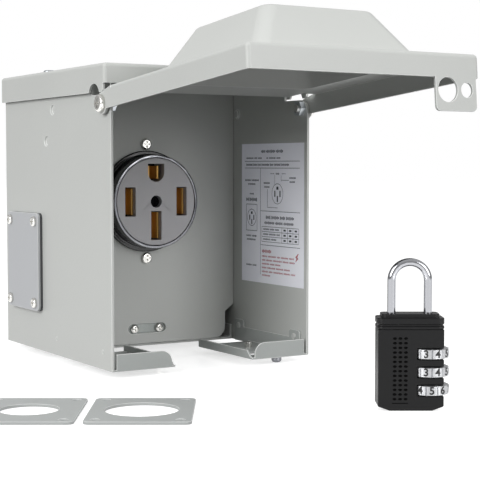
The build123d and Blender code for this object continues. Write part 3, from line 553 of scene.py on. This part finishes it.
for row, widths in enumerate(((7.0, 5.0, 4.5), (6.0, 7.5, 4.0), (8.0, 6.2))):
    black_print += ink_words(25.4, 52.55 + 3.1 * row, widths, 1.2, gap=0.7)
    black_print += [ink_bar(column, 52.55 + 3.1 * row, 2.6, 1.1) for column in (48.2, 54.3, 60.4)]
red_print = ink_words(24.0, 66.2, (10.8,), 2.2, red_ink)
for down, widths in (
    (69.3, (6.0, 9.5, 3.5, 8.0, 5.5)),
    (71.7, (4.0, 7.0, 10.0, 6.5, 6.0)),
    (74.0, (8.5, 5.0, 6.0)),
    (76.4, (5.5, 9.0, 8.0, 6.5)),
    (78.8, (7.0, 4.5, 10.5, 7.0, 5.0)),
    (81.1, (9.5,)),
):
    red_print += ink_words(24.0, down, widths, 1.2, red_ink, gap=0.8)
print("label has", len(black_print), "black and", len(red_print), "red shapes")

# %% [markdown]
# ### The small bolt sign
#
# A bolt sign stands at the right of the red block. It is a bar broken into three: it starts as one
# plane cut across twice, whose two middle edges are then slid apart sideways.

# %% Model the bolt sign and join the print
bpy.ops.object.select_all(action="DESELECT")
bpy.ops.mesh.primitive_plane_add(size=1.0)
bolt_sign = bpy.context.object
bpy.ops.object.mode_set(mode="EDIT")
for cut_height in (0.08, -0.08):
    bpy.ops.mesh.select_all(action="SELECT")
    bpy.ops.mesh.bisect(plane_co=(0, cut_height, 0), plane_no=(0, 1, 0))
bpy.ops.object.mode_set(mode="OBJECT")
for corner in bolt_sign.data.vertices:
    side = math.copysign(1.0, corner.co.x)
    if corner.co.y > 0.4:
        corner.co.x = 0.42 + side * 0.12
    elif corner.co.y < -0.4:
        corner.co.x = -0.42 + side * 0.03
    else:
        corner.co.x = side * 0.3 - math.copysign(0.16, corner.co.y)
bolt_sign.data.transform(Matrix.Diagonal((3.6 * mm, 5.2 * mm, 1, 1)))
set_finish(bolt_sign, red_ink)
red_print.append(on_label(bolt_sign, 62.8, 68.4))


def join_print(shapes, name):
    """Joins flat inked shapes into one piece that rides on the box."""
    bpy.ops.object.select_all(action="DESELECT")
    for shape in shapes:
        shape.select_set(True)
    bpy.context.view_layer.objects.active = shapes[0]
    bpy.ops.object.join()
    shapes[0].name = name
    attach(shapes[0], "box")
    return shapes[0]


black_sheet = join_print(black_print, "label_black_print")
red_sheet = join_print(red_print, "label_red_print")
bpy.data.objects.remove(ink_patch)
print("print has", len(black_sheet.data.polygons) + len(red_sheet.data.polygons), "faces")

# %% [markdown]
# ## The padlock's body and collar
#
# The body is a die casting with a panel of oval grip dimples pressed into its front. A bump map could
# fake them, but they are deep enough to shade themselves, so they are cut: one flattened ball is made,
# copied over a grid of places, and a Boolean modifier takes them all out of the softened body at once.
# The Boolean also hands the cutters' near-black matt enamel, painted shade for the hollows, on to the faces that
# it cuts.

# %% Frame of the padlock
lock_low, lock_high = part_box("shackle")
lock_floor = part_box("padlock_body")[0].z
lock_turn = math.radians(-31.2)
lock_place = Matrix.Translation(
    ((lock_low.x + lock_high.x) / 2, (lock_low.y + lock_high.y) / 2, lock_floor)
) @ Matrix.Rotation(lock_turn, 4, "Z")
# half of the body's depth: its front face lies this far ahead of its middle
lock_front = -7.25 * mm
print("padlock stands at", [round(v / mm, 1) for v in lock_place.translation])

# %% Cut the grip dimples
lock_body = finished_copy("padlock_body", 0.5, lock_enamel, steps=3)
bpy.ops.object.select_all(action="DESELECT")
bpy.ops.mesh.primitive_uv_sphere_add(segments=16, ring_count=8, radius=1.0)
dimple = bpy.context.object
dimple.data.transform(Matrix.Diagonal((0.95 * mm, 0.7 * mm, 0.62 * mm, 1)))
cutters = []
column_pitch, row_pitch = 2.6, 2.2
for column in range(3):
    for row in range(14):
        ball = dimple.copy()
        ball.data = dimple.data.copy()
        bpy.context.scene.collection.objects.link(ball)
        spot = ((-7.7 + column_pitch * column) * mm, lock_front, (5.6 + row_pitch * row) * mm)
        ball.data.transform(Matrix.Translation(spot))
        cutters.append(ball)
bpy.data.objects.remove(dimple)
bpy.ops.mesh.primitive_cube_add(size=1.0)
groove = bpy.context.object
groove.data.transform(Matrix.Diagonal((7.6 * mm, 0.7 * mm, 0.45 * mm, 1)))
groove.data.transform(Matrix.Translation((-5.1 * mm, lock_front, 3.6 * mm)))
cutters.append(groove)
bpy.ops.object.select_all(action="DESELECT")
for cutter in cutters:
    cutter.select_set(True)
bpy.context.view_layer.objects.active = cutters[0]
bpy.ops.object.join()
cutters[0].data.transform(lock_place)
# the cutters carry the painted shade for the dimples' hollows
set_finish(cutters[0], dimple_painted_shade)
only(lock_body)
cut = lock_body.modifiers.new("grip_dimples", "BOOLEAN")
cut.operation = "DIFFERENCE"
cut.solver = "EXACT"
cut.material_mode = "TRANSFER"
cut.object = cutters[0]
bpy.ops.object.modifier_apply(modifier=cut.name)
bpy.data.objects.remove(cutters[0])
smooth_round_edges(lock_body, 35.0)
print("padlock body has", len(lock_body.data.polygons), "faces")

# %% [markdown]
# The collar is a second casting with a groove round it. Two cuts with bisect mark the groove's edges
# on a copy of the CAD collar, and the faces between them are inset inwards.

# %% Groove the collar
collar = finished_copy("padlock_collar", 0.0, lock_enamel)
groove_low, groove_high = lock_floor + 39.9 * mm, lock_floor + 40.9 * mm
bpy.ops.object.mode_set(mode="EDIT")
for height in (groove_low, groove_high):
    bpy.ops.mesh.select_all(action="SELECT")
    bpy.ops.mesh.bisect(plane_co=(0, 0, height), plane_no=(0, 0, 1))
bpy.ops.mesh.select_mode(type="FACE")
bpy.ops.mesh.select_all(action="DESELECT")
bpy.ops.object.mode_set(mode="OBJECT")
middle = lock_place.translation
for face in collar.data.polygons:
    outward = (face.center - middle).xy.dot(face.normal.xy) > 0
    face.select = groove_low < face.center.z < groove_high and outward and abs(face.normal.z) < 0.1
bpy.ops.object.mode_set(mode="EDIT")
bpy.ops.mesh.inset(thickness=0.05 * mm, depth=-0.5 * mm)
bpy.ops.object.mode_set(mode="OBJECT")
soften(collar, 0.35, steps=3)
print("collar has", len(collar.data.polygons), "faces")

# %% [markdown]
# ## The shackle and the lock's inner parts
#
# The shackle is a bent rod, ground, polished and chromed. Its CAD sweep is already round, so it only
# needs welding and smooth shading.

# %% Shackle, spindle and spring
finished_copy("shackle", 0.0, chrome, sharp=40.0)
finished_copy("dial_spindle", 0.1, zinc)
finished_copy("shackle_spring", 0.0, spring_wire, sharp=60.0)
print("shackle is", round((lock_high.z - lock_low.z) / mm, 1), "mm long")

# %% [markdown]
# ## The number dials
#
# Each dial is a small casting with ten raised pads, one for each number, and a narrow groove between
# neighbours for the thumb. One ring is modelled: a 40-sided cylinder whose sides are raised three at a
# time, so that every fourth side stays low as a groove, with its centre opened for the spindle. Ten
# numbers are cut from the built-in font and set on the pads. The ring and its numbers are then copied
# for each dial and turned to the number it shows.

# %% Model one dial ring
dial_low, dial_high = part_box("dial_1")
dial_thickness = dial_high.z - dial_low.z
groove_radius, pad_lift = 8.45 * mm, 0.6 * mm
bpy.ops.object.select_all(action="DESELECT")
bpy.ops.mesh.primitive_cylinder_add(vertices=40, radius=groove_radius, depth=dial_thickness)
dial_ring = bpy.context.object
bpy.ops.object.mode_set(mode="EDIT")
bpy.ops.mesh.select_mode(type="FACE")
for pad in range(10):
    bpy.ops.mesh.select_all(action="DESELECT")
    bpy.ops.object.mode_set(mode="OBJECT")
    for face in dial_ring.data.polygons:
        turn = math.degrees(math.atan2(face.center.y, face.center.x)) - 36 * pad
        inside = (turn + 180) % 360 - 180
        lateral = face.center.xy.length > groove_radius * 0.9 and abs(face.normal.z) < 0.1
        face.select = lateral and abs(inside) < 14
    bpy.ops.object.mode_set(mode="EDIT")
    bpy.ops.mesh.inset(thickness=0.25 * mm, depth=pad_lift)
bpy.ops.mesh.select_all(action="DESELECT")
bpy.ops.object.mode_set(mode="OBJECT")
for face in dial_ring.data.polygons:
    face.select = abs(face.normal.z) > 0.9 and face.center.xy.length < 1 * mm
bpy.ops.object.mode_set(mode="EDIT")
bpy.ops.mesh.inset(thickness=groove_radius - 1.75 * mm)
bpy.ops.mesh.bridge_edge_loops()
bpy.ops.mesh.select_all(action="SELECT")
bpy.ops.mesh.normals_make_consistent(inside=False)
bpy.ops.object.mode_set(mode="OBJECT")
set_finish(dial_ring, cast_zinc)
soften(dial_ring, 0.16, sharp=25.0)
print("dial ring has", len(dial_ring.data.polygons), "faces")

# %% Set the ten numbers on the pads
numbers = []
for number in range(10):
    bpy.ops.object.select_all(action="DESELECT")
    bpy.ops.object.text_add()
    figure = bpy.context.object
    figure.data.body = str(number)
    figure.data.align_x = "CENTER"
    figure.data.align_y = "CENTER"
    figure.data.size = 5.0 * mm
    figure.data.extrude = 0.12 * mm
    figure.data.offset = 0.13 * mm
    bpy.ops.object.convert(target="MESH")
    figure = bpy.context.object
    stand = Matrix.Translation((0, -9.02 * mm, 0)) @ Matrix.Rotation(math.pi / 2, 4, "X")
    figure.data.transform(Matrix.Rotation(math.radians(36 * number), 4, "Z") @ stand)
    set_finish(figure, number_ink)
    numbers.append(figure)
bpy.ops.object.select_all(action="DESELECT")
for figure in numbers:
    figure.select_set(True)
bpy.context.view_layer.objects.active = numbers[0]
bpy.ops.object.join()
number_ring = numbers[0]
print("numbers have", len(number_ring.data.polygons), "faces")

# %% Copy the ring and its numbers for the three dials
# the ring's first pad points along X and its numbers already face the front
pattern_turns = {"ring": (dial_ring, math.radians(-90)), "numbers": (number_ring, 0.0)}
shown_turn = {"dial_1": 3.5, "dial_2": 3.5, "dial_3": 5.0}
for dial, shown in shown_turn.items():
    low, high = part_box(dial)
    middle = (low + high) / 2
    turn = Matrix.Rotation(lock_turn - math.radians(36 * shown), 4, "Z")
    for suffix, (pattern, first_turn) in pattern_turns.items():
        piece = pattern.copy()
        piece.data = pattern.data.copy()
        piece.name = f"{dial}_{suffix}"
        bpy.context.scene.collection.objects.link(piece)
        piece.data.transform(Matrix.Translation(middle) @ turn @ Matrix.Rotation(first_turn, 4, "Z"))
        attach(piece, dial)
        if suffix == "ring":
            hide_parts(dial)
bpy.data.objects.remove(dial_ring)
bpy.data.objects.remove(number_ring)
print("dials show their fronts at", shown_turn)

# %% [markdown]
# ## Finishes for the CAD pieces that stay
#
# The pieces that are hidden inside, and the label's film, are shown as the CAD made them. They only
# take their finish.

# %% Give the remaining nodes their finish
kept_finishes = {
    "label": label_vinyl,
    "hub_gasket": rubber,
    "mounting_strap": zinc,
    "outlet_base": black_phenolic,
    "terminal_screws": brass,
    # the centre screw's near-black is painted shade deep in its hole
    "centre_screw": centre_screw_shade_black,
}
for node, finish in kept_finishes.items():
    set_finish(frame["nodes"][node], finish)
print("kept as they are:", ", ".join(sorted(kept_finishes)))

# %% [markdown]
# ## The floor
#
# The object stands on a glossy white sheet, as small goods do in a studio. It reflects the brackets
# faintly. A large plane just below the lowest point is enough. It glows a little by itself, as a sheet
# lit from below does, and that keeps it white without washing out the shadows on the object.

# %% White studio floor
bpy.ops.object.select_all(action="DESELECT")
bpy.ops.mesh.primitive_plane_add(size=12.0, location=(0, 0, cad_low.z - 0.1 * mm))
floor = bpy.context.object
floor.name = "studio_floor"
floor_gloss, floor_tree, floor_shader, floor_place = new_finish(
    "glossy_white_acrylic", IOR=1.49, Roughness=0.1, Base_Color=linear("#fbfbfb")
)
floor_shader.inputs["Emission Color"].default_value = (1, 1, 1, 1)
floor_shader.inputs["Specular IOR Level"].default_value = 0.35
floor_shader.inputs["Emission Strength"].default_value = 0.6
# the light that the floor throws back up is held down, as with black flags on a studio table
bounce = add_node(floor_tree, "ShaderNodeBsdfDiffuse", {"Color": linear("#5e5e5e")})
bounced = add_node(floor_tree, "ShaderNodeLightPath", {}).outputs["Is Diffuse Ray"]
flagged = add_node(
    floor_tree, "ShaderNodeMixShader", {0: bounced, 1: floor_shader.outputs[0], 2: bounce.outputs[0]}
)
floor_tree.links.new(flagged.outputs[0], floor_tree.nodes["Material Output"].inputs["Surface"])
set_finish(floor, floor_gloss)
print("floor at", round(floor.location.z / mm, 1), "mm")

# %% [markdown]
# ## The light
#
# Product pictures on white use a light tent: soft light from all round, a stronger soft box at the
# left to model the form, a weaker one in front to reach into the box, and a bright backdrop. The world
# is white where the camera sees it, and as a light it is brightest overhead and dimmer at the horizon,
# so bright metal has something to reflect.

# %% World and soft boxes
world = bpy.data.worlds.new("light_tent")
bpy.context.scene.world = world
world.use_nodes = True
tent = world.node_tree
tent.nodes.clear()
direction = add_node(tent, "ShaderNodeTexCoord", {}).outputs["Generated"]
rise = add_node(tent, "ShaderNodeSeparateXYZ", {"Vector": direction}).outputs["Z"]
horizon_light, overhead_light = 0.42, 0.78
shade = add_node(
    tent,
    "ShaderNodeMapRange",
    {"Value": rise, "From Min": 0.0, "From Max": 0.9, "To Min": horizon_light, "To Max": overhead_light},
)
glow = add_node(tent, "ShaderNodeBackground", {"Color": (1, 1, 1, 1), "Strength": shade.outputs["Result"]})
backdrop = add_node(tent, "ShaderNodeBackground", {"Color": (1, 1, 1, 1), "Strength": 1.0})
seen = add_node(tent, "ShaderNodeLightPath", {}).outputs["Is Camera Ray"]
both = add_node(tent, "ShaderNodeMixShader", {0: seen, 1: glow.outputs[0], 2: backdrop.outputs[0]})
add_node(tent, "ShaderNodeOutputWorld", {"Surface": both.outputs[0]})
bpy.context.scene.view_settings.view_transform = "Standard"


def soft_box(name, place, target, size, power):
    """A square area light that faces a point."""
    lamp = bpy.data.lights.new(name, "AREA")
    lamp.shape = "SQUARE"
    lamp.size = size
    lamp.energy = power
    stand = bpy.data.objects.new(name, lamp)
    bpy.context.scene.collection.objects.link(stand)
    stand.location = place
    stand.rotation_euler = (Vector(target) - Vector(place)).to_track_quat("-Z", "Y").to_euler()
    return stand


soft_box("left_soft_box", (-1.5, -0.5, 0.6), (0, -0.1, 0), 0.9, 18.0)
soft_box("front_soft_box", (0.35, -1.5, 0.45), (0, -0.15, -0.05), 0.8, 10.0)
